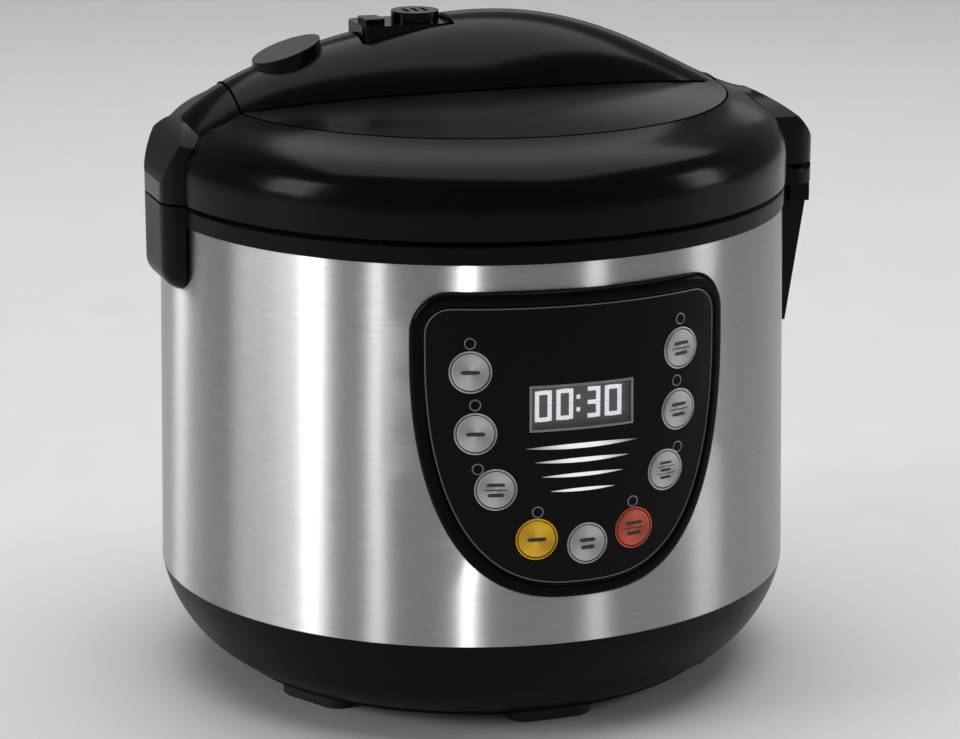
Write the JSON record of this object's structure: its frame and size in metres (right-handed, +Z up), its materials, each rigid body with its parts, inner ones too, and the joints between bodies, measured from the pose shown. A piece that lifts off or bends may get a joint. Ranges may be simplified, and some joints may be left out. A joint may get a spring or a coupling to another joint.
{
  "type": "multicooker",
  "caption": "Round countertop multicooker with a steel drum, hinged domed lid with latch and steam valve, removable pot, keypad and display.",
  "frame": {"origin": "centre of the outline, on the plane of the feet's undersides", "axes": "+Z up; the keypad faces -Y; the lid's hinge is at +X and its latch at -X"},
  "size_m": [0.289, 0.2724, 0.2805],
  "materials": {
    "blade_brass": "plated blades",
    "brushed_steel": "horizontally brushed stainless steel",
    "cap_black": "sleeved capacitors",
    "cast_aluminium": "machined cast aluminium",
    "circuit": "green circuit board",
    "copper_wound": "wound and taped coil",
    "digit_white": "lit white segments",
    "display_grey": "grey display face",
    "film": "printed polyester film",
    "galvanised": "plain sheet metal",
    "gloss_black": "polished black plastic",
    "key_metal": "spun silver paint, satin",
    "lens": "small dark lenses with silver rims",
    "lid_liner": "plain drawn aluminium",
    "pane": "tinted clear pane",
    "pot_coating": "dark non-stick coating on aluminium",
    "relay_blue": "moulded blue case",
    "rubber_black": "black rubber",
    "rubber_grey": "grey silicone rubber",
    "satin_black": "satin moulded black plastic",
    "spring_steel": "bright spring steel",
    "trim_silver": "bright silver trim"
  },
  "bodies": {
    "housing": {"base_shell": "satin_black", "bottom_cover": "satin_black", "foot_pads": "rubber_black", "base_screws": "spring_steel", "mains_inlet": "satin_black", "inlet_blades": "blade_brass", "steel_drum": "brushed_steel", "top_ring": "satin_black", "latch_catch": "spring_steel", "latch_pillar": "satin_black", "hinge_tower": "satin_black", "panel_bezel": "gloss_black", "panel_face": "gloss_black", "display_window": "pane", "accent_stripes": "trim_silver", "keypad_carrier": "satin_black", "membrane_circuit": "film", "switch_domes": "spring_steel", "indicator_lenses": "lens", "display_module": "display_grey", "display_digits": "digit_white", "control_board": "circuit", "cooking_pot": "pot_coating", "inner_well": "galvanised", "heater_plate": "cast_aluminium", "heater_posts": "galvanised", "sensor_sleeve": "galvanised", "sensor_spring": "spring_steel", "power_board": "circuit", "board_posts": "galvanised", "transformer": "copper_wound", "heater_relay": "relay_blue", "capacitors": "cap_black"},
    "lid": {"lid_shell": "gloss_black", "lid_disc": "gloss_black", "lid_spine": "gloss_black", "latch_guide": "galvanised", "button_spring": "spring_steel", "inner_cover": "lid_liner", "lid_screws": "spring_steel", "inner_plate": "lid_liner", "plate_knob": "rubber_grey", "seal_ring": "rubber_grey", "steam_valve_base": "satin_black", "hinge_pin": "spring_steel", "hinge_spring": "spring_steel"},
    "button": {"release_button": "gloss_black"},
    "latch": {"latch_slider": "cap_black"},
    "valve_cap": {"steam_valve_cap": "gloss_black"},
    "cup": {"condensate_cup": "satin_black"},
    "sensor": {"sensor_cap": "cast_aluminium"},
    "key_fry_body": {"key_fry": "key_metal"},
    "key_pilaf_body": {"key_pilaf": "key_metal"},
    "key_oatmeal_body": {"key_oatmeal": "key_metal"},
    "key_timer_body": {"key_timer": "key_metal"},
    "key_cook_time_body": {"key_cook_time": "key_metal"},
    "key_reheat_body": {"key_reheat": "key_metal"},
    "key_soup_body": {"key_soup": "key_metal"},
    "key_stew_body": {"key_stew": "key_metal"},
    "key_bake_body": {"key_bake": "key_metal"}
  },
  "joints": [
    {"name": "lid_hinge", "type": "hinge", "parent": "housing", "child": "lid", "pos_m": [0.1375, 0, 0.216], "axis": [0, 1, 0], "range_deg": [0, 95]},
    {"name": "release_press", "type": "slide", "parent": "lid", "child": "button", "axis": [0, 0, -1], "range_m": [0, 0.0035], "stiffness_N_per_m": 600, "springref_m": -0.003, "deforming": ["button_spring"]},
    {"name": "latch_slide", "type": "slide", "parent": "lid", "child": "latch", "axis": [1, 0, 0], "range_m": [0, 0.0035]},
    {"name": "valve_cap_lift", "type": "slide", "parent": "lid", "child": "valve_cap", "axis": [0, 0, 1], "range_m": [0, 0.03]},
    {"name": "cup_pull", "type": "slide", "parent": "housing", "child": "cup", "axis": [1, 0, 0], "range_m": [0, 0.03]},
    {"name": "sensor_press", "type": "slide", "parent": "housing", "child": "sensor", "axis": [0, 0, -1], "range_m": [0, 0.003], "stiffness_N_per_m": 700, "springref_m": -0.002, "deforming": ["sensor_spring"]},
    {"name": "key_fry_press", "type": "slide", "parent": "housing", "child": "key_fry_body", "axis": [0.3286, 0.9445, 0], "range_m": [0, 0.0007], "stiffness_N_per_m": 800},
    {"name": "key_pilaf_press", "type": "slide", "parent": "housing", "child": "key_pilaf_body", "axis": [0.3146, 0.9492, 0], "range_m": [0, 0.0007], "stiffness_N_per_m": 800},
    {"name": "key_oatmeal_press", "type": "slide", "parent": "housing", "child": "key_oatmeal_body", "axis": [0.2585, 0.966, 0], "range_m": [0, 0.0007], "stiffness_N_per_m": 800},
    {"name": "key_timer_press", "type": "slide", "parent": "housing", "child": "key_timer_body", "axis": [0.1403, 0.9901, 0], "range_m": [0, 0.0007], "stiffness_N_per_m": 800},
    {"name": "key_cook_time_press", "type": "slide", "parent": "housing", "child": "key_cook_time_body", "axis": [-0.0126, 0.9999, 0], "range_m": [0, 0.0007], "stiffness_N_per_m": 800},
    {"name": "key_reheat_press", "type": "slide", "parent": "housing", "child": "key_reheat_body", "axis": [-0.163, 0.9866, 0], "range_m": [0, 0.0007], "stiffness_N_per_m": 800},
    {"name": "key_soup_press", "type": "slide", "parent": "housing", "child": "key_soup_body", "axis": [-0.2721, 0.9623, 0], "range_m": [0, 0.0007], "stiffness_N_per_m": 800},
    {"name": "key_stew_press", "type": "slide", "parent": "housing", "child": "key_stew_body", "axis": [-0.3188, 0.9478, 0], "range_m": [0, 0.0007], "stiffness_N_per_m": 800},
    {"name": "key_bake_press", "type": "slide", "parent": "housing", "child": "key_bake_body", "axis": [-0.3272, 0.945, 0], "range_m": [0, 0.0007], "stiffness_N_per_m": 800}
  ],
  "couplings": [
    {"joint": "latch_slide", "follows": "release_press", "ratio": 1}
  ]
}
